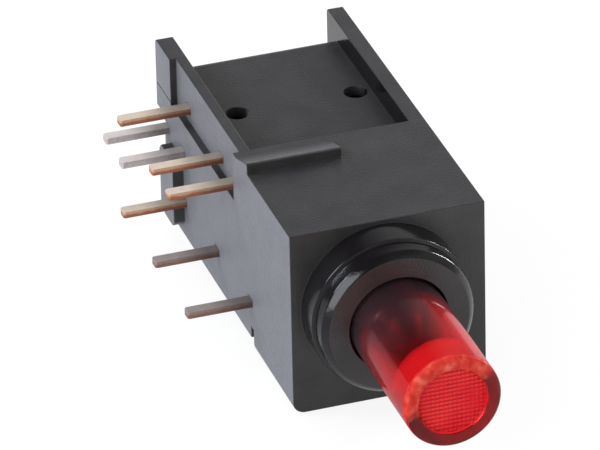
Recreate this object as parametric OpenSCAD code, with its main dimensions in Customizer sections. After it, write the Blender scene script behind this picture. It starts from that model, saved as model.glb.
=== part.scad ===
// Illuminated two-pole pushbutton for a circuit board, lying on its side.
// Origin: on the plunger's axis, at the housing's front face. The plunger points along -Y,
// the pins point along -X and +Z is up. All sizes are millimetres.

/* [Housing] */
// Width of the housing, across the plunger
body_w = 9.6; // [9:0.1:12]
// Height of the front block
body_h = 9.6; // [9:0.1:12]
// Length from the front face to the rear ends of the two upper walls
body_l = 20.6; // [20.5:0.1:24]
// Distance from the pin side to the plunger's axis
axis_from_pin_side = 4.45; // [4.2:0.05:4.8]
// Distance from the top to the plunger's axis
axis_from_top = 4.15; // [4:0.05:4.6]
// Length of the full-height front block, on top
block_l = 8.5; // [8.2:0.1:9.5]
// Length of the deeper foot under the front block
foot_l = 5.9; // [5:0.1:7]
// How far the underside behind the foot is raised
foot_h = 0.7; // [0.3:0.05:1]
// Length of the notch in the pin-side wall, just behind the foot
notch_l = 0.35; // [0.2:0.05:0.5]
// Height of that notch
notch_h = 0.6; // [0.3:0.05:0.8]
// Thickness of the wall on the pin side
pin_wall = 0.88; // [0.7:0.02:1.1]
// Thickness of the wall on the far side
far_wall = 0.8; // [0.5:0.05:1.2]
// Thickness of the front wall behind the collar
front_wall = 2.5; // [1.5:0.1:3]
// Depth of the recess in the top, behind the front block
recess_d = 1.1; // [0.6:0.05:1.4]
// How far the recess floor ends before the rear ends of the walls
floor_setback = 1.3; // [0.6:0.1:2]
// Small bevel on the rear edge of the recess floor
floor_bevel = 0.35; // [0:0.05:0.45]
// Radius of the upper rear corners of the walls
wall_corner_r = 0.25; // [0.1:0.05:1]
// Radius of the two long lower edges of the front block
edge_r = 0.6; // [0.2:0.1:1]
// Diameter of the two holes in the recess floor
floor_hole_d = 1.15; // [0.6:0.05:1.4]
// Distance of the floor holes from the front face
floor_hole_y = 13.95; // [13:0.05:15]
// Distance from the pin-side wall to the first floor hole
floor_hole_x = 1.13; // [0.8:0.01:1.15]
// Distance between the two floor holes
floor_hole_span = 6; // [5:0.1:6.1]

/* [Side details] */
// How far the upper pin-side wall is set back
side_setback = 0.34; // [0.1:0.02:0.5]
// Height of the set-back wall, measured down from the top
side_setback_h = 2.5; // [1.9:0.05:2.5]
// Length of the corner pillar at the rear of that wall
pillar_l = 2.35; // [1.6:0.05:3]
// Thickness of plastic behind the last pin
rear_web = 0.12; // [0.1:0.01:0.3]
// Height of the corner pillars, measured down from the top
pillar_h = 3.65; // [3:0.05:4]
// Width and depth of the seam line on the pillar
seam = 0.06; // [0.04:0.01:0.1]
// Height of the wedge-shaped catch on the top
catch_h = 0.5; // [0.2:0.05:0.8]
// Distance from the front face to the catch
catch_y = 6.25; // [5:0.05:6.5]
// Length of the catch, from its upright face to the end of its slope
catch_l = 1.75; // [1:0.05:2]
// Width of the catch
catch_w = 4.7; // [3:0.1:7]
// How far the locating lug stands out of the pin side
lug_h = 0.56; // [0.3:0.02:0.8]
// Length of the locating lug
lug_l = 2.1; // [1.5:0.1:2.5]
// Height of the locating lug
lug_w = 3.75; // [2.5:0.05:4]
// Bevel on the locating lug
lug_bevel = 0.3; // [0.1:0.05:0.45]

/* [Collar and plunger] */
// Diameter of the collar's rear step, which locates in a panel
step_d = 7.9; // [7.6:0.05:8.1]
// Length of the collar's rear step
step_l = 1.5; // [0.8:0.05:2]
// Diameter of the collar's front part
collar_d = 7.5; // [6.6:0.05:7.55]
// Length of the whole collar
collar_l = 2.56; // [2:0.02:4]
// Bevel round the collar's front edge
collar_bevel = 0.3; // [0.1:0.05:0.5]
// Diameter of the plunger
plunger_d = 4.7; // [4.4:0.05:5]
// Distance from the housing's front face to the plunger's tip
plunger_out = 10; // [9:0.1:12]
// Diameter of the shallow recess in the tip
tip_recess_d = 3.85; // [3:0.05:3.9]
// Depth of the shallow recess in the tip
tip_recess_l = 0.22; // [0.1:0.02:0.5]
// Radius of the tip's outer edge
tip_r = 0.3; // [0.1:0.05:0.35]
// Gap left between the lamp and the end of the plunger's bore when it is pressed
lens_gap = 0.5; // [0.3:0.05:1]
// How far the plunger travels when it is pressed
travel = 2.5; // [2.2:0.1:2.6]
// Running clearance all round the plunger, on the radius
running_gap = 0.08; // [0.04:0.01:0.1]

/* [Terminals] */
// Pitch of the pin grid
pitch = 2.54; // [2.5:0.01:2.6]
// Distance from the front face to the first pin
first_pin_y = 6.28; // [6.2:0.01:6.5]
// Height of the upper row above the plunger's axis
upper_row_z = 2.32; // [2.25:0.01:2.35]
// Length of the pins outside the housing
pin_l = 3.2; // [2.5:0.1:4]
// Width of a pin, along the housing
pin_w = 0.6; // [0.4:0.05:0.8]
// Thickness of a pin
pin_t = 0.35; // [0.2:0.01:0.4]
// Bevel at the end of a pin
pin_bevel = 0.08; // [0:0.01:0.15]
// Gap round a pin in its slot
slot_gap = 0.02; // [0.01:0.01:0.05]
// Width of a contact track inside, across the housing
track_w = 1.3; // [0.9:0.05:1.4]
// Length of a middle contact track, along the housing
track_l = 1.6; // [1.3:0.05:1.7]

/* [Slider and contacts] */
// Width of the slider
slider_w = 4.8; // [4:0.1:5]
// Length of the slider's block
slider_l = 9.45; // [9.2:0.05:9.6]
// Diameter of the stem that carries the plunger
stem_d = 3.2; // [2.8:0.05:3.4]
// Distance from the housing's front face to the stem's front end
stem_out = 2.2; // [1.5:0.1:2.5]
// Thickness of a contact bridge
bridge_t = 0.12; // [0.08:0.01:0.14]
// Width of a contact bridge
bridge_w = 1.1; // [0.8:0.05:1.2]
// Distance between the two contact humps of a bridge
hump_span = 2.1; // [2:0.05:2.3]
// Gap between a contact hump and its track
contact_gap = 0.02; // [0.01:0.01:0.05]
// Gap between the slider and what guides it
slide_gap = 0.06; // [0.04:0.01:0.1]

/* [Spring and lamp] */
// Diameter of the lamp and of the post behind it
lamp_d = 1.9; // [1.7:0.05:1.95]
// Distance from the housing's front face to the lamp's tip
lamp_out = 4.65; // [3.8:0.05:4.65]
// Length of the lamp with its dome
lamp_l = 4.8; // [4:0.1:5.8]
// Diameter of a lamp lead
lead_d = 0.35; // [0.25:0.01:0.4]
// Distance between the two lamp leads
lead_span = 1; // [0.8:0.05:1.05]
// Outer diameter of the return spring
spring_d = 2.7; // [2.65:0.01:2.75]
// Diameter of the spring's wire
spring_wire = 0.25; // [0.2:0.01:0.26]
// Number of turns of the return spring
spring_turns = 11; // [8:1:13]

/* [Hidden] */
$fn = 64;
over = 0.5;
join = 0.1;

// Faces of the housing
x_pin = -axis_from_pin_side;
x_far = x_pin + body_w;
z_top = axis_from_top;
z_foot = z_top - body_h;
z_under = z_foot + foot_h;
z_floor = z_top - recess_d;
z_ledge = z_top - side_setback_h;
z_pillar = z_top - pillar_h;
seam_rise = 0.12;
z_seam = z_ledge + seam_rise;
y_floor_end = body_l - floor_setback;
y_pillar = body_l - pillar_l;
x_in = x_pin + pin_wall;
x_far_in = x_far - far_wall;

// Rows of pins: the lower row is two pitches under the upper one, the lamp row is near the axis
lower_row_z = upper_row_z - 2 * pitch;
lamp_row_z = 0;
slot_w = pin_w + 2 * slot_gap;
slot_t = pin_t + 2 * slot_gap;
function pin_y(n) = first_pin_y + n * pitch;
y_lower_end = pin_y(5) + pin_w / 2 + rear_web;

// Cavity: its ceiling rests on the upper contact tracks, the base carries the lower ones
z_ceiling = upper_row_z + pin_t / 2;
z_base_top = lower_row_z - pin_t / 2;
base_gap = 0.03;
base_front = foot_l + 0.08;
rail_h = 3.2;
rail_z = -1.8;
rail_in = slider_w / 2 + slide_gap;

// Contact tracks, between the slider's middle and the pin-side wall
track_x = -1;
track_overlap = 0.4;
bridge_back = 1.1;
bridge_mid = pin_y(2) - bridge_back;
closed_track_end = bridge_mid - hump_span / 2 + track_overlap;
open_track_start = bridge_mid + hump_span / 2 + travel - track_overlap;
open_track_end = pin_y(4) + pin_w / 2;

// Slider, from the under side of the upper tracks to the top of the lower ones
slider_front = front_wall + slide_gap;
slider_rear = slider_front + slider_l;
bridge_room = 0.29;
post_gap = 0.1;
spring_gap = 0.075;
slider_top = upper_row_z - pin_t / 2 - bridge_room;
slider_under = lower_row_z + pin_t / 2 + bridge_room;
hump_h = bridge_room - contact_gap;
stem_bore_d = lamp_d + 2 * post_gap;
spring_pocket_d = spring_d + 2 * spring_gap;
spring_pocket_l = 4;
boss_d = 0.4;
boss_gap = 0.02;
hump_r = 0.3;
stem_fit = 0.02;
bore_end = -lamp_out - travel - lens_gap;

// Lamp holder, at the rear end of the cavity
holder_web = 0.54;
holder_front = pin_y(4) - pin_w / 2 - holder_web;
holder_gap = 0.05;
holder_top = upper_row_z - pin_t / 2 - holder_gap;
holder_under = lower_row_z + pin_t / 2 + holder_gap;
lamp_rear = lamp_l - lamp_out;
lead_margin = 0.3;
anode_end = lead_margin - lead_span / 2;
cathode_end = lead_span / 2 + lead_margin;
stop_x = 1.95;
stop_w = 0.7;
stop_gap = 0.05;
stop_front = slider_rear + travel + stop_gap;

module along_y(x, y, z, d, l) {
    translate([x, y, z]) rotate([-90, 0, 0]) cylinder(d = d, h = l);
}

module block(x0, x1, y0, y1, z0, z1) {
    translate([x0, y0, z0]) cube([x1 - x0, y1 - y0, z1 - z0]);
}

// A plate in the YZ plane whose upper rear corner is round
module round_ended_plate(x0, x1, y0, y1, z0, z1, r) {
    translate([x0, 0, 0]) rotate([90, 0, 90]) linear_extrude(height = x1 - x0) {
        translate([y0, z0]) square([y1 - y0 - r, z1 - z0]);
        translate([y0, z0]) square([y1 - y0, z1 - z0 - r]);
        translate([y1 - r, z1 - r]) circle(r = r);
    }
}

module block_profile(z0) {
    translate([x_pin + edge_r, z0]) square([body_w - 2 * edge_r, z_top - z0]);
    translate([x_pin, z0 + edge_r]) square([body_w, z_top - z0 - edge_r]);
    for (x = [x_pin + edge_r, x_far - edge_r]) translate([x, z0 + edge_r]) circle(r = edge_r);
}

module front_block() {
    translate([0, foot_l, 0]) rotate([90, 0, 0]) linear_extrude(height = foot_l) block_profile(z_foot);
    translate([0, block_l, 0]) rotate([90, 0, 0]) linear_extrude(height = block_l)
        translate([x_pin, z_under]) square([body_w, z_top - z_under]);
}

module collar() {
    along_y(0, -step_l, 0, step_d, step_l + over);
    along_y(0, -collar_l + collar_bevel, 0, collar_d, collar_l);
    translate([0, -collar_l + collar_bevel, 0]) rotate([90, 0, 0])
        cylinder(d1 = collar_d, d2 = collar_d - 2 * collar_bevel, h = collar_bevel);
}

module top_catch() {
    land = 0.2;
    translate([x_pin, 0, 0]) rotate([90, 0, 90]) linear_extrude(height = catch_w)
        polygon([
            [catch_y, z_top - over], [catch_y, z_top + catch_h],
            [catch_y + land, z_top + catch_h], [catch_y + catch_l, z_top], [catch_y + catch_l, z_top - over]
        ]);
}

module locating_lug() {
    setback = 0.8;
    lug_end = y_lower_end - setback;
    lug_top = -0.45;
    translate([x_pin + over, 0, 0]) rotate([0, -90, 0]) linear_extrude(height = lug_h + over)
        polygon([
            [lug_top, lug_end - lug_l], [lug_top, lug_end - lug_bevel], [lug_top - lug_bevel, lug_end],
            [lug_top - lug_w + lug_bevel, lug_end], [lug_top - lug_w, lug_end - 2 * lug_bevel],
            [lug_top - lug_w, lug_end - lug_l + lug_bevel], [lug_top - lug_w + lug_bevel, lug_end - lug_l]
        ]);
}

module upper_walls() {
    round_ended_plate(x_far_in, x_far, block_l - over, body_l, z_pillar, z_top, wall_corner_r);
    round_ended_plate(x_pin + side_setback, x_in, block_l - over, body_l, z_pillar, z_top, wall_corner_r);
    round_ended_plate(x_pin, x_in, y_pillar, body_l, z_pillar, z_top, wall_corner_r);
}

module recess_floor() {
    bevel_drop = 0.25 * floor_bevel;
    rotate([90, 0, 90]) translate([0, 0, x_in - join]) linear_extrude(height = x_far_in - x_in + 2 * join)
        polygon([
            [block_l - over, z_ceiling], [block_l - over, z_floor], [y_floor_end - floor_bevel, z_floor],
            [y_floor_end, z_floor - bevel_drop], [y_floor_end, z_ceiling]
        ]);
}

module lower_walls() {
    block(x_pin, x_in, block_l - over, y_lower_end, z_under, z_ledge);
    block(x_pin + side_setback, x_in, block_l - over, y_lower_end, z_ledge - over, z_top - over);
    block(x_far_in, x_far, block_l - over, y_lower_end, z_under, z_top - over);
}

module guide_rails() {
    rail_end = slider_rear + travel;
    block(x_in - over, -rail_in, front_wall - over, rail_end, rail_z, rail_z + rail_h);
    block(rail_in, x_far_in + over, front_wall - over, rail_end, rail_z, rail_z + rail_h);
}

module cavity() {
    block(x_in, x_far_in, front_wall, y_lower_end + over, z_base_top, z_ceiling);
    block(x_in, x_far_in, base_front - base_gap, y_lower_end + over, z_under - over, z_base_top + join);
}

// The slot also passes through the locating lug, which stands beside one pin
module pin_slot(y, z, past_end = 0) {
    block(x_pin - lug_h - join, x_in + join, y - slot_w / 2, y + slot_w / 2 + past_end,
        z - slot_t / 2, z + slot_t / 2);
}

module housing() {
    color([0.16, 0.16, 0.17])
    difference() {
        union() {
            difference() {
                union() {
                    front_block();
                    upper_walls();
                    recess_floor();
                    lower_walls();
                }
                cavity();
            }
            guide_rails();
            collar();
            top_catch();
            locating_lug();
        }
        along_y(0, -collar_l - over, 0, plunger_d + 2 * running_gap, collar_l + front_wall + 2 * over);
        for (n = [1, 2, 4]) pin_slot(pin_y(n), upper_row_z);
        for (n = [0, 2, 4]) pin_slot(pin_y(n), lower_row_z);
        pin_slot(pin_y(4), lamp_row_z);
        pin_slot(pin_y(5), lamp_row_z, over);
        for (x = [0, floor_hole_span])
            translate([x_in + floor_hole_x + x, floor_hole_y, z_ceiling - join])
                cylinder(d = floor_hole_d, h = recess_d + over);
        block(x_pin - join, x_pin + seam, y_pillar - join, body_l + join, z_seam, z_seam + seam);
        block(x_pin - join, x_in + join, foot_l, foot_l + notch_l, z_under - over, z_under + notch_h);
    }
}

module base() {
    pocket = 0.8;
    margin = 1.3;
    color([0.13, 0.13, 0.14])
    difference() {
        block(x_in + base_gap, x_far_in - base_gap, base_front, y_lower_end, z_under, z_base_top);
        for (half = [0, 1]) {
            l = (y_lower_end - base_front - 3 * margin) / 2;
            translate([x_in + margin, base_front + margin + half * (l + margin), z_under - over])
                cube([x_far_in - x_in - 2 * margin, l, pocket + over]);
        }
    }
}

module lamp_holder() {
    color([0.18, 0.18, 0.19])
    difference() {
        union() {
            block(x_in + base_gap, x_far_in - base_gap, holder_front, y_lower_end, holder_under, holder_top);
            along_y(0, lamp_rear, 0, lamp_d, holder_front - lamp_rear + join);
            for (side = [-1, 1]) translate([side * stop_x - stop_w / 2, stop_front, rail_z])
                cube([stop_w, holder_front - stop_front + join, rail_h]);
        }
        for (side = [-1, 1])
            along_y(side * lead_span / 2, lamp_rear - join, 0, lead_d + 2 * slot_gap,
                pin_y(side < 0 ? 4 : 5) - lamp_rear);
        block(x_in - join, anode_end + slot_gap, pin_y(4) - slot_w / 2, pin_y(4) + slot_w / 2,
            -slot_t / 2, slot_t / 2);
        block(x_in - join, cathode_end + slot_gap, pin_y(5) - slot_w / 2, y_lower_end + join,
            -slot_t / 2, slot_t / 2);
    }
}

module lamp() {
    color([0.85, 0.1, 0.08])
    rotate([90, 0, 0]) rotate_extrude() {
        translate([0, -lamp_rear]) square([lamp_d / 2, lamp_l - lamp_d / 2]);
        intersection() {
            translate([0, lamp_out - lamp_d / 2]) circle(d = lamp_d);
            translate([0, lamp_out - lamp_d / 2 - 0.01]) square([lamp_d, lamp_d]);
        }
    }
}

module lamp_lead(side, n) {
    color([0.75, 0.74, 0.7])
    along_y(side * lead_span / 2, lamp_rear, 0, lead_d, pin_y(n) - pin_w / 2 - lamp_rear);
}

// Outline of a pin with bevelled corners at its free end, reaching in to x_end
module pin_outline(y, x_end) {
    x0 = x_pin - pin_l;
    polygon([
        [x0, y - pin_w / 2 + pin_bevel], [x0 + pin_bevel, y - pin_w / 2], [x_end, y - pin_w / 2],
        [x_end, y + pin_w / 2], [x0 + pin_bevel, y + pin_w / 2], [x0, y + pin_w / 2 - pin_bevel]
    ]);
}

module terminal(y, z, track_y0, track_y1) {
    color([0.8, 0.62, 0.45])
    translate([0, 0, z - pin_t / 2]) linear_extrude(height = pin_t) {
        pin_outline(y, track_x);
        translate([track_x - track_w / 2, track_y0]) square([track_w, track_y1 - track_y0]);
    }
}

module lamp_terminal(n, x_end) {
    color([0.74, 0.73, 0.7])
    translate([0, 0, lamp_row_z - pin_t / 2]) linear_extrude(height = pin_t) pin_outline(pin_y(n), x_end);
}

// A strip with two rounded humps, flat side at z = 0, humps upwards
module bridge(face_z, up) {
    half = hump_span / 2;
    color([0.83, 0.66, 0.4])
    translate([track_x, bridge_mid, face_z]) mirror([0, 0, up > 0 ? 0 : 1])
    difference() {
        intersection() {
            translate([-bridge_w / 2, 0, 0]) rotate([90, 0, 90]) linear_extrude(height = bridge_w) {
                translate([-half - hump_r, 0]) square([2 * (half + hump_r), bridge_t]);
                for (y = [-half, half]) translate([y, hump_h - hump_r]) circle(r = hump_r);
            }
            translate([-bridge_w, -half - 1, 0]) cube([2 * bridge_w, 2 * half + 2, 1]);
        }
        translate([0, 0, -join]) cylinder(d = boss_d + 2 * boss_gap, h = 1);
    }
}

module slider() {
    color([0.1, 0.1, 0.11])
    difference() {
        union() {
            block(-slider_w / 2, slider_w / 2, slider_front, slider_rear, slider_under, slider_top);
            along_y(0, -stem_out, 0, stem_d, stem_out + slider_front + join);
            translate([track_x, bridge_mid, slider_under - bridge_t])
                cylinder(d = boss_d, h = slider_top - slider_under + 2 * bridge_t);
        }
        along_y(0, -stem_out - join, 0, stem_bore_d, stem_out + slider_rear + over);
        along_y(0, slider_rear - spring_pocket_l, 0, spring_pocket_d, spring_pocket_l + over);
    }
}

module plunger() {
    tip_outer = plunger_d / 2;
    bore_r = stem_d / 2 + stem_fit;
    color([0.85, 0.05, 0.07])
    rotate([90, 0, 0]) rotate_extrude() difference() {
        union() {
            translate([0, -slider_front]) square([tip_outer, slider_front + plunger_out - tip_r]);
            translate([0, plunger_out - tip_r - 0.01]) square([tip_outer - tip_r, tip_r + 0.01]);
            translate([tip_outer - tip_r, plunger_out - tip_r]) circle(r = tip_r);
        }
        translate([-1, -slider_front - 1]) square([bore_r + 1, slider_front - bore_end + 1]);
        translate([-1, plunger_out - tip_recess_l]) square([tip_recess_d / 2 + 1, tip_recess_l + 1]);
    }
}

// The return spring: a round wire swept along a helix, between the slider's pocket and the lamp holder
module return_spring() {
    y0 = slider_rear - spring_pocket_l;
    y1 = holder_front;
    sides = 8;
    steps = 14;
    coil_r = (spring_d - spring_wire) / 2;
    rings = steps * spring_turns;
    rise = (y1 - y0 - spring_wire) / spring_turns;
    wire_r = spring_wire / 2;
    wire = [for (i = [0:rings]) for (k = [0:sides - 1])
        let (turn = 360 * i / steps, ring = 360 * k / sides, r = coil_r + wire_r * cos(ring))
        [r * cos(turn), y0 + wire_r + rise * i / steps + wire_r * sin(ring), r * sin(turn)]];
    skin = [for (i = [0:rings - 1]) for (k = [0:sides - 1])
        let (a = i * sides + k, b = i * sides + (k + 1) % sides) [a, b, b + sides, a + sides]];
    first = [for (k = [sides - 1:-1:0]) k];
    last = [for (k = [0:sides - 1]) rings * sides + k];
    color([0.7, 0.71, 0.73]) polyhedron(points = wire, faces = concat(skin, [first, last]));
}

housing();
base();
lamp_holder();
lamp();
lamp_lead(-1, 4);  // lamp_lead_anode
lamp_lead(1, 5);  // lamp_lead_cathode
lamp_terminal(4, anode_end);  // lamp_terminal_anode
lamp_terminal(5, cathode_end);  // lamp_terminal_cathode
terminal(pin_y(1), upper_row_z, pin_y(1) - track_l / 2, closed_track_end);  // upper_closed_terminal
terminal(pin_y(2), upper_row_z, pin_y(2) - track_l / 2, pin_y(2) + track_l / 2);  // upper_common_terminal
terminal(pin_y(4), upper_row_z, open_track_start, open_track_end);  // upper_open_terminal
terminal(pin_y(0), lower_row_z, pin_y(0) - pin_w / 2, closed_track_end);  // lower_closed_terminal
terminal(pin_y(2), lower_row_z, pin_y(2) - track_l / 2, pin_y(2) + track_l / 2);  // lower_common_terminal
terminal(pin_y(4), lower_row_z, open_track_start, open_track_end);  // lower_open_terminal
bridge(slider_top, 1);  // upper_bridge
bridge(slider_under, -1);  // lower_bridge
slider();
plunger();
return_spring();
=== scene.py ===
import math

import bmesh
import bpy
from mathutils import Matrix, Vector


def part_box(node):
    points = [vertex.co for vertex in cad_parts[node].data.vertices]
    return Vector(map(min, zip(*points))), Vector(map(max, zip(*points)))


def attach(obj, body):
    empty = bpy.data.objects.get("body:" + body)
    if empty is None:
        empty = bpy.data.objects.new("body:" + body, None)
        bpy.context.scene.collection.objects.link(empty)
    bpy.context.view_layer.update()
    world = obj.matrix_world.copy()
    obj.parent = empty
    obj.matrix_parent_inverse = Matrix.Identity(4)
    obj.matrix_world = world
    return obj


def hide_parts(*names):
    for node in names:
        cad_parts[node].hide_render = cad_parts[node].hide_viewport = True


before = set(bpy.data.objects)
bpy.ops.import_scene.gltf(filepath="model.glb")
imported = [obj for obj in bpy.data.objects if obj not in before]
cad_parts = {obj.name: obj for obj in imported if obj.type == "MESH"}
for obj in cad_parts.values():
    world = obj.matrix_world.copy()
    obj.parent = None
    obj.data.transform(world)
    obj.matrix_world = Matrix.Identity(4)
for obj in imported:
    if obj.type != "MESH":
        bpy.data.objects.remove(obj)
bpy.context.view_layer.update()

MM = 0.001
PIN_ROW = 2.32
ROW_STEP = 5.08
PRISM_PITCH = 0.21
GROOVE_SCALE = 2 * math.pi / (20 * PRISM_PITCH * MM)
BENCH_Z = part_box("housing")[0][2] - 0.02 * MM


# ---- camera, bench and light ----

def set_camera():
    """The photograph's view: a long lens, about a third of a metre away."""
    azimuth, elevation, roll = (math.radians(a) for a in (-17.884, 30.007, -1.363))
    back = Vector((math.sin(azimuth) * math.cos(elevation), -math.cos(azimuth) * math.cos(elevation), math.sin(elevation)))
    right = Vector((math.cos(azimuth), math.sin(azimuth), 0))
    up = back.cross(right)
    spot = (right * -3.723 + up * 3.476 + back * 337.65) * MM
    rolled_right = right * math.cos(roll) + up * math.sin(roll)
    rolled_up = up * math.cos(roll) - right * math.sin(roll)
    data = bpy.data.cameras.new("view")
    data.sensor_fit = "HORIZONTAL"
    data.sensor_width = 36
    data.lens = 434.476
    data.clip_start = 0.01
    camera = bpy.data.objects.new("view", data)
    turn = Matrix((rolled_right, rolled_up, back)).transposed().to_4x4()
    camera.matrix_world = Matrix.Translation(spot) @ turn
    bpy.context.scene.collection.objects.link(camera)
    bpy.context.scene.camera = camera


def new_tree(owner):
    owner.use_nodes = True
    tree = owner.node_tree
    tree.nodes.clear()
    return tree


def add(tree, kind, links=None, **values):
    """A node of this kind. Values go on its properties or sockets, links on its sockets."""
    node = tree.nodes.new(kind)
    for key, value in values.items():
        if hasattr(node, key):
            setattr(node, key, value)
        else:
            node.inputs[key.replace("_", " ")].default_value = value
    for key, source in (links or {}).items():
        tree.links.new(source, node.inputs[key])
    return node


def ramp(tree, source, stops):
    node = add(tree, "ShaderNodeValToRGB", {"Fac": source})
    elements = node.color_ramp.elements
    while len(elements) < len(stops):
        elements.new(0.5)
    for element, (place, value) in zip(elements, stops):
        element.position = place
        element.color = (*value, 1) if isinstance(value, tuple) else (value, value, value, 1)
    return node


def set_world():
    """A white tent. Reflections see a dim room above the bench, lighter to the right and towards the horizon."""
    world = bpy.data.worlds.new("studio")
    bpy.context.scene.world = world
    tree = new_tree(world)
    place = add(tree, "ShaderNodeTexCoord")
    split = add(tree, "ShaderNodeSeparateXYZ", {"Vector": place.outputs["Generated"]})
    height = ramp(tree, split.outputs["Z"], [(0.0, 0.5), (0.17, 0.34), (0.35, 0.42), (0.6, 0.42), (0.8, 0.12)])
    shifted = add(tree, "ShaderNodeMath", {0: split.outputs["X"]}, operation="ADD")
    shifted.inputs[1].default_value = 0.5
    side = ramp(tree, shifted.outputs[0], [(0.35, 0.06), (0.8, 1.0)])
    room = add(tree, "ShaderNodeMix", {"A": height.outputs["Color"], "B": side.outputs["Color"]},
               data_type="RGBA", blend_type="MULTIPLY", Factor=1.0)
    path = add(tree, "ShaderNodeLightPath")
    mixed = add(tree, "ShaderNodeMix", {"Factor": path.outputs["Is Glossy Ray"]}, data_type="RGBA")
    mixed.inputs["A"].default_value = (1, 1, 1, 1)
    tree.links.new(room.outputs["Result"], mixed.inputs["B"])
    light = add(tree, "ShaderNodeBackground", {"Color": mixed.outputs["Result"]}, Strength=1.0)
    out = add(tree, "ShaderNodeOutputWorld")
    tree.links.new(light.outputs[0], out.inputs["Surface"])


def set_bench():
    """A plain white bench that the front foot stands on. Reflections see it dimmer, lighter to the right."""
    bm = bmesh.new()
    bmesh.ops.create_grid(bm, x_segments=1, y_segments=1, size=1.5)
    bmesh.ops.translate(bm, vec=(0, 0, BENCH_Z), verts=bm.verts)
    mesh = bpy.data.meshes.new("bench")
    bm.to_mesh(mesh)
    bm.free()
    bench = bpy.data.objects.new("bench", mesh)
    bpy.context.scene.collection.objects.link(bench)
    paint = bpy.data.materials.new("bench_white")
    tree = new_tree(paint)
    matt = add(tree, "ShaderNodeBsdfDiffuse", Color=(0.9, 0.9, 0.9, 1))
    path = add(tree, "ShaderNodeLightPath")
    clear = add(tree, "ShaderNodeMath", {0: path.outputs["Is Camera Ray"], 1: path.outputs["Is Transmission Ray"]},
                operation="MAXIMUM")
    glossy = add(tree, "ShaderNodeMath", {0: path.outputs["Is Glossy Ray"], 1: path.outputs["Is Transmission Ray"]},
                 operation="SUBTRACT", use_clamp=True)
    place = add(tree, "ShaderNodeTexCoord")
    split = add(tree, "ShaderNodeSeparateXYZ", {"Vector": place.outputs["Object"]})
    across = add(tree, "ShaderNodeMapRange", {"Value": split.outputs["X"]})
    across.inputs["From Min"].default_value = -20 * MM
    across.inputs["From Max"].default_value = 15 * MM
    dim = ramp(tree, across.outputs[0], [(0.0, 0.12), (1.0, 1.0)])
    seen = add(tree, "ShaderNodeMix", {"Factor": glossy.outputs[0], "B": dim.outputs["Color"]}, data_type="RGBA")
    seen.inputs["A"].default_value = (1, 1, 1, 1)
    glow = add(tree, "ShaderNodeEmission", {"Color": seen.outputs["Result"]}, Strength=1.0)
    mirrored = add(tree, "ShaderNodeMath", {0: glossy.outputs[0]}, operation="MULTIPLY")
    mirrored.inputs[1].default_value = 0.75
    share = add(tree, "ShaderNodeMath", {0: clear.outputs[0], 2: mirrored.outputs[0]}, operation="MULTIPLY_ADD")
    share.inputs[1].default_value = 0.85
    mixed = add(tree, "ShaderNodeMixShader", {"Fac": share.outputs[0]})
    tree.links.new(matt.outputs[0], mixed.inputs[1])
    tree.links.new(glow.outputs[0], mixed.inputs[2])
    out = add(tree, "ShaderNodeOutputMaterial")
    tree.links.new(mixed.outputs[0], out.inputs["Surface"])
    mesh.materials.append(paint)


def add_lamp(name, place, aim, size, power, colour=(1, 1, 1)):
    """A soft lamp, placed and aimed in millimetres."""
    data = bpy.data.lights.new(name, "AREA")
    data.shape = "RECTANGLE"
    data.size, data.size_y = (s * MM for s in size)
    data.energy = power
    data.color = colour
    lamp = bpy.data.objects.new(name, data)
    lamp.location = Vector(place) * MM
    lamp.rotation_euler = (Vector(aim) - Vector(place)).to_track_quat("-Z", "Y").to_euler()
    bpy.context.scene.collection.objects.link(lamp)


def set_lamps():
    add_lamp("left_lamp", (-222, -150, 95), (0, 0, 0), (220, 230), 0.62, (0.92, 0.95, 1.0))
    add_lamp("right_lamp", (240, 120, 70), (0, 5, 0), (60, 100), 0.5)
    add_lamp("bench_lamp", (-300, 130, 200), (-40, 60, -5), (160, 160), 0.9, (0.82, 0.87, 1.0))


# ---- finishes ----

def material(name):
    made = bpy.data.materials.new(name)
    tree = new_tree(made)
    place = add(tree, "ShaderNodeTexCoord").outputs["Object"]
    skin = add(tree, "ShaderNodeBsdfPrincipled")
    out = add(tree, "ShaderNodeOutputMaterial", {"Surface": skin.outputs[0]})
    return made, tree, place, skin


def noise(tree, place, size_mm, detail=2.0, roughness=0.5):
    return add(tree, "ShaderNodeTexNoise", {"Vector": place}, Scale=1 / (size_mm * MM), Detail=detail,
               Roughness=roughness).outputs["Fac"]


def bump(tree, height, depth_mm, strength=1.0, under=None):
    node = add(tree, "ShaderNodeBump", {"Height": height}, Distance=depth_mm * MM, Strength=strength)
    if under is not None:
        tree.links.new(under, node.inputs["Normal"])
    return node.outputs[0]


def black_plastic(name, tone, rough, grain_mm=0.09, grain_depth=0.02, bloom=0.0, ior=1.5, cloud=0.25):
    """Black moulded plastic with a fine satin grain and faint flow marks."""
    made, tree, place, skin = material(name)
    flow = noise(tree, place, 1.6, 3.0)
    colour = ramp(tree, flow, [(0.3, tuple(c * (1 - cloud) for c in tone)), (0.7, tuple(c * (1 + cloud) for c in tone))])
    tree.links.new(colour.outputs["Color"], skin.inputs["Base Color"])
    smear = noise(tree, place, 0.5, 3.0)
    gloss = add(tree, "ShaderNodeMapRange", {"Value": smear})
    gloss.inputs["To Min"].default_value = rough - 0.05
    gloss.inputs["To Max"].default_value = rough + 0.06
    tree.links.new(gloss.outputs[0], skin.inputs["Roughness"])
    skin.inputs["Sheen Weight"].default_value = bloom
    skin.inputs["Sheen Roughness"].default_value = 0.4
    skin.inputs["Sheen Tint"].default_value = (0.86, 0.88, 1.0, 1)
    grain = noise(tree, place, grain_mm, 3.0)
    tree.links.new(bump(tree, grain, grain_depth), skin.inputs["Normal"])
    skin.inputs["IOR"].default_value = ior
    return made


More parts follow.
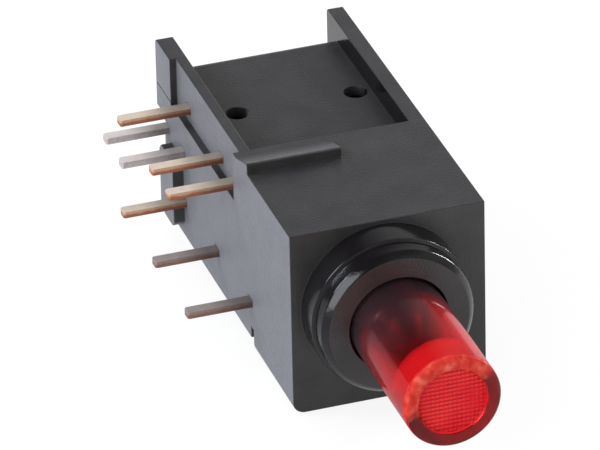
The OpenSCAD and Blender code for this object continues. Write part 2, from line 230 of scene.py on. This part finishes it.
def clear_red(name, frosting, scuffs, wear, lip_glow):
    """Clear red plastic. Where it is faintly frosted, light that has crossed the cap glows red on its far wall. The
    upper left of the lip, next to the tip, has a painted orange-red glow.
    """
    made, tree, place, skin = material(name)
    cloud = noise(tree, place, 3.0)
    colour = ramp(tree, cloud, [(0.3, (0.90, 0.03, 0.04)), (0.7, (0.94, 0.04, 0.05))])
    tree.links.new(colour.outputs["Color"], skin.inputs["Base Color"])
    skin.inputs["Transmission Weight"].default_value = 1.0
    skin.inputs["IOR"].default_value = 1.49
    scuff = add(tree, "ShaderNodeMapRange", {"Value": noise(tree, place, 0.3, 3.0)})
    scuff.inputs["To Min"].default_value = scuffs
    scuff.inputs["To Max"].default_value = scuffs + 0.06
    skin.inputs["Specular IOR Level"].default_value = 0.0
    skin.inputs["Coat Weight"].default_value = 0.6
    skin.inputs["Coat Roughness"].default_value = 0.05
    skin.inputs["Coat IOR"].default_value = 1.49
    tree.links.new(scuff.outputs[0], skin.inputs["Roughness"])
    depth = add(tree, "ShaderNodeBsdfGlass", {"Roughness": scuff.outputs[0]}, IOR=1.49)
    deep = ramp(tree, cloud, [(0.3, (0.91, 0.14, 0.17)), (0.7, (0.93, 0.18, 0.2))])
    tree.links.new(deep.outputs["Color"], depth.inputs["Color"])
    body = add(tree, "ShaderNodeMixShader", Fac=0.68)
    tree.links.new(skin.outputs[0], body.inputs[1])
    tree.links.new(depth.outputs[0], body.inputs[2])
    along = add(tree, "ShaderNodeSeparateXYZ", {"Vector": place})
    slid = add(tree, "ShaderNodeMapRange", {"Value": along.outputs["Y"]})
    slid.inputs["From Min"].default_value = -8.3 * MM
    slid.inputs["From Max"].default_value = -5.5 * MM
    slid.inputs["To Max"].default_value = wear
    haze = add(tree, "ShaderNodeBsdfDiffuse", Color=(0.5, 0.42, 0.5, 1))
    worn = add(tree, "ShaderNodeMixShader", {"Fac": slid.outputs[0]})
    tree.links.new(body.outputs[0], worn.inputs[1])
    tree.links.new(haze.outputs[0], worn.inputs[2])
    # Painted glow: the upper-left part of the lip, next to the tip, gets a matt orange-red with a ragged edge,
    # standing in for light coming through the cap there.
    aside = add(tree, "ShaderNodeVectorMath", {"Vector": place}, operation="DOT_PRODUCT")
    aside.inputs[1].default_value = (-0.385, 0, 0.923)
    ragged = add(tree, "ShaderNodeMath", {0: noise(tree, place, 0.25, 3.0), 2: aside.outputs["Value"]},
                 operation="MULTIPLY_ADD")
    ragged.inputs[1].default_value = 0.5 * MM
    upper = add(tree, "ShaderNodeMapRange", {"Value": ragged.outputs[0]})
    upper.inputs["From Min"].default_value = 0.4 * MM
    upper.inputs["From Max"].default_value = 0.9 * MM
    at_lip = add(tree, "ShaderNodeMapRange", {"Value": along.outputs["Y"]})
    at_lip.inputs["From Min"].default_value = -9.8 * MM
    at_lip.inputs["From Max"].default_value = -9.6 * MM
    at_lip.inputs["To Min"].default_value = lip_glow
    at_lip.inputs["To Max"].default_value = 0.0
    lip_glow_mask = add(tree, "ShaderNodeMath", {0: upper.outputs[0], 1: at_lip.outputs[0]}, operation="MULTIPLY")
    matt = ramp(tree, noise(tree, place, 0.45, 3.0), [(0.35, (0.38, 0.02, 0.016)), (0.55, (0.48, 0.045, 0.03)),
                                                      (0.75, (0.58, 0.13, 0.09))])
    painted_lip_glow = add(tree, "ShaderNodeBsdfDiffuse", {"Color": matt.outputs["Color"]})
    lipped = add(tree, "ShaderNodeMixShader", {"Fac": lip_glow_mask.outputs[0]})
    tree.links.new(worn.outputs[0], lipped.inputs[1])
    tree.links.new(painted_lip_glow.outputs[0], lipped.inputs[2])
    inside = add(tree, "ShaderNodeNewGeometry").outputs["Backfacing"]
    frosted = add(tree, "ShaderNodeMath", {0: inside}, operation="MULTIPLY")
    frosted.inputs[1].default_value = frosting
    glow = add(tree, "ShaderNodeBsdfTranslucent", Color=(0.6, 0.01, 0.02, 1))
    mixed = add(tree, "ShaderNodeMixShader", {"Fac": frosted.outputs[0]})
    tree.links.new(lipped.outputs[0], mixed.inputs[1])
    tree.links.new(glow.outputs[0], mixed.inputs[2])
    out = next(n for n in tree.nodes if n.bl_idname == "ShaderNodeOutputMaterial")
    tree.links.new(mixed.outputs[0], out.inputs["Surface"])
    return made


def tip_red():
    """The fine prisms in the tip catch the light from in front; that brighter, orange red is painted in as their
    colour, and the grooves between them are darkened in a grid as painted shade.
    """
    made, tree, place, skin = material("tip_prisms")
    crest = ramp(tree, noise(tree, place, 1.5), [(0.3, (0.50, 0.003, 0.010)), (0.7, (0.56, 0.026, 0.022))])
    # Painted shade: the grooves between the prisms get this darker red, in a grid of rows and columns.
    painted_groove_shade = ramp(tree, noise(tree, place, 0.8), [(0.3, (0.30, 0.001, 0.006)), (0.7, (0.38, 0.006, 0.010))])
    rows = add(tree, "ShaderNodeTexWave", {"Vector": place}, bands_direction="Z", Scale=GROOVE_SCALE)
    columns = add(tree, "ShaderNodeTexWave", {"Vector": place}, bands_direction="X", Scale=GROOVE_SCALE)
    row_line = ramp(tree, rows.outputs["Fac"], [(0.25, 0.0), (0.6, 1.0)])
    column_line = ramp(tree, columns.outputs["Fac"], [(0.0, 0.6), (0.3, 1.0)])
    groove_shade_mask = add(tree, "ShaderNodeMath", {0: row_line.outputs["Color"], 1: column_line.outputs["Color"]}, operation="MULTIPLY")
    colour = add(tree, "ShaderNodeMix", {"Factor": groove_shade_mask.outputs[0], "A": painted_groove_shade.outputs["Color"],
                                         "B": crest.outputs["Color"]}, data_type="RGBA")
    tree.links.new(colour.outputs["Result"], skin.inputs["Base Color"])
    skin.inputs["Roughness"].default_value = 0.4
    skin.inputs["Specular IOR Level"].default_value = 0.12
    return made


def lamp_painted_shade():
    """The unlit lamp inside the cap, coloured a nearly black red: painted shade for the dark inside of the cap."""
    made, tree, place, skin = material("lamp_in_painted_shade")
    colour = ramp(tree, noise(tree, place, 0.8), [(0.3, (0.02, 0.004, 0.006)), (0.7, (0.035, 0.006, 0.009))])
    tree.links.new(colour.outputs["Color"], skin.inputs["Base Color"])
    skin.inputs["Roughness"].default_value = 0.3
    return made


def tinned_copper(name, tin, side_high, side_low):
    """Tinned strip, darker towards the root, whose sheared sides show copper, most of all along the lower edge."""
    made, tree, place, skin = material(name)
    spot = add(tree, "ShaderNodeSeparateXYZ", {"Vector": place})
    speckle = noise(tree, place, 0.12, 3.0)
    patch = noise(tree, place, 0.6, 2.0)
    row = add(tree, "ShaderNodeMath", {0: spot.outputs["Z"]}, operation="WRAP")
    row.inputs[1].default_value = ROW_STEP * MM
    row.inputs[2].default_value = 0.0
    height = add(tree, "ShaderNodeMapRange", {"Value": row.outputs[0]})
    height.inputs["From Min"].default_value = (PIN_ROW - 0.175) * MM
    height.inputs["From Max"].default_value = (PIN_ROW + 0.175) * MM
    ragged = add(tree, "ShaderNodeMath", {0: patch, 2: height.outputs[0]}, operation="MULTIPLY_ADD")
    ragged.inputs[1].default_value = 0.5
    band = ramp(tree, ragged.outputs[0], [(0.7, 0.0), (0.95, 1.0)])
    high = ramp(tree, speckle, [(0.3, tuple(c * 0.8 for c in side_high)), (0.7, side_high)])
    low = ramp(tree, speckle, [(0.3, tuple(c * 0.75 for c in side_low)), (0.7, side_low)])
    side = add(tree, "ShaderNodeMix", {"Factor": band.outputs["Color"], "A": low.outputs["Color"],
                                       "B": high.outputs["Color"]}, data_type="RGBA")
    facing = add(tree, "ShaderNodeSeparateXYZ", {"Vector": add(tree, "ShaderNodeTexCoord").outputs["Normal"]})
    top = ramp(tree, facing.outputs["Z"], [(0.3, 0.0), (0.7, 1.0)])
    flat = ramp(tree, patch, [(0.3, tuple(c * 0.85 for c in tin)), (0.7, tin)])
    clean = add(tree, "ShaderNodeMix", {"Factor": top.outputs["Color"], "A": side.outputs["Result"],
                                        "B": flat.outputs["Color"]}, data_type="RGBA")
    # The colour gets darker towards the root, next to the housing.
    reach = add(tree, "ShaderNodeMapRange", {"Value": spot.outputs["X"]})
    reach.inputs["From Min"].default_value = -7.0 * MM
    reach.inputs["From Max"].default_value = -5.0 * MM
    darker_at_root = ramp(tree, reach.outputs[0], [(0.2, 1.0), (1.0, 0.45)])
    colour = add(tree, "ShaderNodeMix", {"A": clean.outputs["Result"], "B": darker_at_root.outputs["Color"]},
                 data_type="RGBA", blend_type="MULTIPLY", Factor=1.0)
    tree.links.new(colour.outputs["Result"], skin.inputs["Base Color"])
    skin.inputs["Metallic"].default_value = 0.35
    scratch = add(tree, "ShaderNodeMapRange", {"Value": speckle})
    scratch.inputs["To Min"].default_value = 0.3
    scratch.inputs["To Max"].default_value = 0.5
    tree.links.new(scratch.outputs[0], skin.inputs["Roughness"])
    tree.links.new(bump(tree, noise(tree, place, 0.1, 3.0), 0.006), skin.inputs["Normal"])
    return made


def plain_metal(name, tone, rough):
    made, tree, place, skin = material(name)
    colour = ramp(tree, noise(tree, place, 0.5, 2.0), [(0.3, tuple(c * 0.85 for c in tone)), (0.7, tone)])
    tree.links.new(colour.outputs["Color"], skin.inputs["Base Color"])
    skin.inputs["Metallic"].default_value = 1.0
    brushed = add(tree, "ShaderNodeMapRange", {"Value": noise(tree, place, 0.08, 3.0)})
    brushed.inputs["To Min"].default_value = rough
    brushed.inputs["To Max"].default_value = rough + 0.15
    tree.links.new(brushed.outputs[0], skin.inputs["Roughness"])
    return made


# ---- pieces ----

def finish_piece(bm, name, body, finish, replaced, smooth_angle=35):
    """Puts a finished mesh in the scene: smooth but for its sharp edges, riding on its body."""
    bm.normal_update()
    for face in bm.faces:
        face.smooth = True
    for edge in bm.edges:
        edge.smooth = len(edge.link_faces) == 2 and edge.calc_face_angle() < math.radians(smooth_angle)
    mesh = bpy.data.meshes.new(name)
    bm.to_mesh(mesh)
    bm.free()
    piece = bpy.data.objects.new(name, mesh)
    bpy.context.scene.collection.objects.link(piece)
    mesh.materials.append(finish)
    level = piece.modifiers.new("even_normals", "WEIGHTED_NORMAL")
    level.mode = "FACE_AREA"
    level.weight = 100
    level.keep_sharp = True
    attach(piece, body)
    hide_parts(*replaced)
    return piece


def softened(node, name, body, finish, width_mm, spared=None, segments=2):
    """The CAD node's shape with its sharp edges eased, as moulding and shearing leave them."""
    bm = bmesh.new()
    bm.from_mesh(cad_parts[node].data)
    bmesh.ops.remove_doubles(bm, verts=bm.verts, dist=0.0005 * MM)
    bmesh.ops.dissolve_limit(bm, angle_limit=math.radians(0.5), verts=bm.verts, edges=bm.edges)
    sharp = [e for e in bm.edges if len(e.link_faces) == 2 and e.calc_face_angle() > math.radians(25)]
    if spared is not None:
        sharp = [e for e in sharp if not spared(e)]
    bmesh.ops.bevel(bm, geom=sharp, offset=width_mm * MM, offset_type="OFFSET", segments=segments, profile=0.5,
                    affect="EDGES", material=-1, clamp_overlap=False)
    return finish_piece(bm, name, body, finish, [node])


def near_seam(edge):
    """The seam on the corner pillar is too fine to be eased."""
    return all(1.62 * MM < v.co.z < 1.9 * MM and v.co.y > 17.9 * MM for v in edge.verts)


def spun(profile, steps=96):
    """A closed shape of revolution about the plunger's axis, from (radius, y) points in millimetres."""
    bm = bmesh.new()
    ring = [bm.verts.new((radius * MM, y * MM, 0)) for radius, y in profile]
    edges = [bm.edges.new((a, b)) for a, b in zip(ring, ring[1:])]
    bmesh.ops.spin(bm, geom=ring + edges, axis=(0, 1, 0), cent=(0, 0, 0), angle=2 * math.pi, steps=steps,
                   use_merge=True)
    bmesh.ops.remove_doubles(bm, verts=bm.verts, dist=0.0002 * MM)
    return bm


def arc(cx, cy, r, start, end, count):
    """Points on an arc in the (radius, y) plane, angles in degrees."""
    return [(cx + r * math.cos(math.radians(start + (end - start) * i / count)),
             cy + r * math.sin(math.radians(start + (end - start) * i / count))) for i in range(count + 1)]


def build_plunger(finish, tip_finish, bore_finish):
    """The clear red cap: hollow behind, with a rounded lip round a shallow recess in its tip."""
    low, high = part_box("plunger")
    radius = high[0] / MM
    tip, rear = low[1] / MM, high[1] / MM
    bore, bore_end, dish, field, dish_depth, lip = 1.62, -7.65, 1.925, 1.68, 0.22, 0.2
    profile = [(field, tip + dish_depth), (field, tip + 0.06), (field + 0.03, tip + 0.03), (dish, tip)]
    profile += arc(radius - lip, tip + lip, lip, -90, 0, 6)
    profile += [(radius, rear - 0.08), (radius - 0.08, rear), (bore + 0.06, rear), (bore, rear - 0.06),
                (bore, bore_end), (0, bore_end)]
    bm = spun(profile)
    rim = [e for e in bm.edges if len(e.link_faces) == 1]
    rim += prism_field(bm, field, tip + dish_depth)
    bmesh.ops.triangle_fill(bm, edges=rim, use_beauty=True, normal=(0, -1, 0))
    bmesh.ops.recalc_face_normals(bm, faces=bm.faces)
    for face in bm.faces:
        middle = face.calc_center_median()
        in_dish = middle.y < (tip + dish_depth + 0.06) * MM and middle.xz.length < (field - 0.003) * MM
        in_bore = middle.y > (bore_end - 0.01) * MM and middle.xz.length < (bore + 0.01) * MM
        face.material_index = 1 if in_dish else 2 if in_bore else 0
    cap = finish_piece(bm, "plunger_cap", "button", finish, ["plunger"], smooth_angle=24)
    cap.data.materials.append(tip_finish)
    cap.data.materials.append(bore_finish)
    return cap


def prism_field(bm, radius, y, pitch=PRISM_PITCH, depth=0.04):
    """A round field of small square prisms in the dish of the tip. Gives back its outer edges."""
    count = 2 * math.ceil(radius / pitch)
    made = bmesh.ops.create_grid(bm, x_segments=count, y_segments=count, size=count * pitch / 2 * MM,
                                 matrix=Matrix.Rotation(math.radians(90), 4, "X"))["verts"]
    inner = (radius - 0.02) * MM
    for vert in made:
        reach = vert.co.xz.length
        if reach > inner:
            vert.co.x *= inner / reach
            vert.co.z *= inner / reach
    faces = list({f for v in made for f in v.link_faces})
    flat = [f for f in faces if f.calc_area() < (0.3 * pitch * MM) ** 2]
    bmesh.ops.delete(bm, geom=flat, context="FACES")
    faces = [f for f in faces if f.is_valid]
    bmesh.ops.translate(bm, vec=(0, y * MM, 0), verts=[v for v in made if v.is_valid])
    outline = [e for e in {e for f in faces for e in f.edges} if len(e.link_faces) == 1]
    bmesh.ops.poke(bm, faces=faces, offset=-depth * MM, center_mode="MEAN")
    loose = [v for v in bm.verts if not v.link_faces]
    bmesh.ops.delete(bm, geom=loose, context="VERTS")
    return outline


def paint(node, finish):
    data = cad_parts[node].data
    data.materials.clear()
    data.materials.append(finish)


def build():
    shell_plastic = black_plastic("shell_satin", (0.018, 0.0172, 0.0172), 0.33, bloom=0.12)
    # Painted light: a lighter, bluish copy of the black plastic with a strong sheen, so that the flanks look lit
    # from the side.
    lit_flank_plastic = black_plastic("flank_painted_light", (0.03, 0.03, 0.033), 0.5, bloom=0.56, cloud=0.2)
    collar_plastic = black_plastic("collar_gloss", (0.006, 0.005, 0.006), 0.13, grain_mm=0.12, grain_depth=0.008, ior=1.52)
    inner_plastic = black_plastic("inner_black", (0.012, 0.012, 0.013), 0.42, grain_depth=0.003)
    # The last value is the strength of the painted orange-red glow on the lip's upper left.
    red = clear_red("clear_red_plastic", 0.16, 0.1, 0.02, 0.8)
    bore_red = clear_red("clear_red_bore", 0.0, 0.18, 0.0, 0.0)
    cream_pin = tinned_copper("cream_pin", (0.76, 0.64, 0.52), (0.56, 0.32, 0.20), (0.34, 0.12, 0.07))
    brown_pin = tinned_copper("brown_pin", (0.38, 0.32, 0.30), (0.26, 0.19, 0.18), (0.24, 0.12, 0.09))
    grey_pin = tinned_copper("grey_pin", (0.78, 0.71, 0.67), (0.52, 0.45, 0.44), (0.50, 0.44, 0.43))
    bronze = plain_metal("rolled_bronze", (0.80, 0.60, 0.34), 0.25)
    steel = plain_metal("drawn_steel", (0.62, 0.62, 0.64), 0.25)

    shell = softened("housing", "housing_shell", "frame", shell_plastic, 0.05, near_seam)
    shell.data.materials.append(collar_plastic)
    shell.data.materials.append(lit_flank_plastic)
    for face in shell.data.polygons:
        # The outer flanks get the lighter copy of the plastic that stands in for the light on them.
        lit_flank = abs(face.normal.x) > 0.9 and face.normal.x * face.center.x > 0 and face.center.y > 0
        inner = abs(face.normal.x) > 0.9 and face.normal.x * face.center.x < 0 and face.center.y > 0
        glossy = inner or face.center.y < -0.02 * MM and face.normal.y > -0.95
        face.material_index = 1 if glossy else 2 if lit_flank else 0
    softened("base", "base_cover", "frame", inner_plastic, 0.05)
    build_plunger(red, tip_red(), bore_red)
    for node in ("upper_closed_terminal", "upper_common_terminal", "upper_open_terminal", "lower_open_terminal"):
        softened(node, node.replace("terminal", "pin"), "frame", cream_pin, 0.025)
    for node in ("lower_closed_terminal", "lower_common_terminal"):
        softened(node, node.replace("terminal", "pin"), "frame", brown_pin, 0.025)
    for node in ("lamp_terminal_anode", "lamp_terminal_cathode"):
        softened(node, node.replace("terminal", "pin"), "frame", grey_pin, 0.025)
    for node in ("slider", "lamp_holder"):
        paint(node, inner_plastic)
    for node in ("upper_bridge", "lower_bridge"):
        paint(node, bronze)
    for node in ("lamp_lead_anode", "lamp_lead_cathode"):
        paint(node, grey_pin)
    # The lamp is coloured nearly black as painted shade for the inside of the cap.
    paint("lamp", lamp_painted_shade())
    paint("return_spring", steel)


set_camera()
set_world()
set_bench()
set_lamps()
build()

bpy.context.scene.view_settings.view_transform = "Standard"
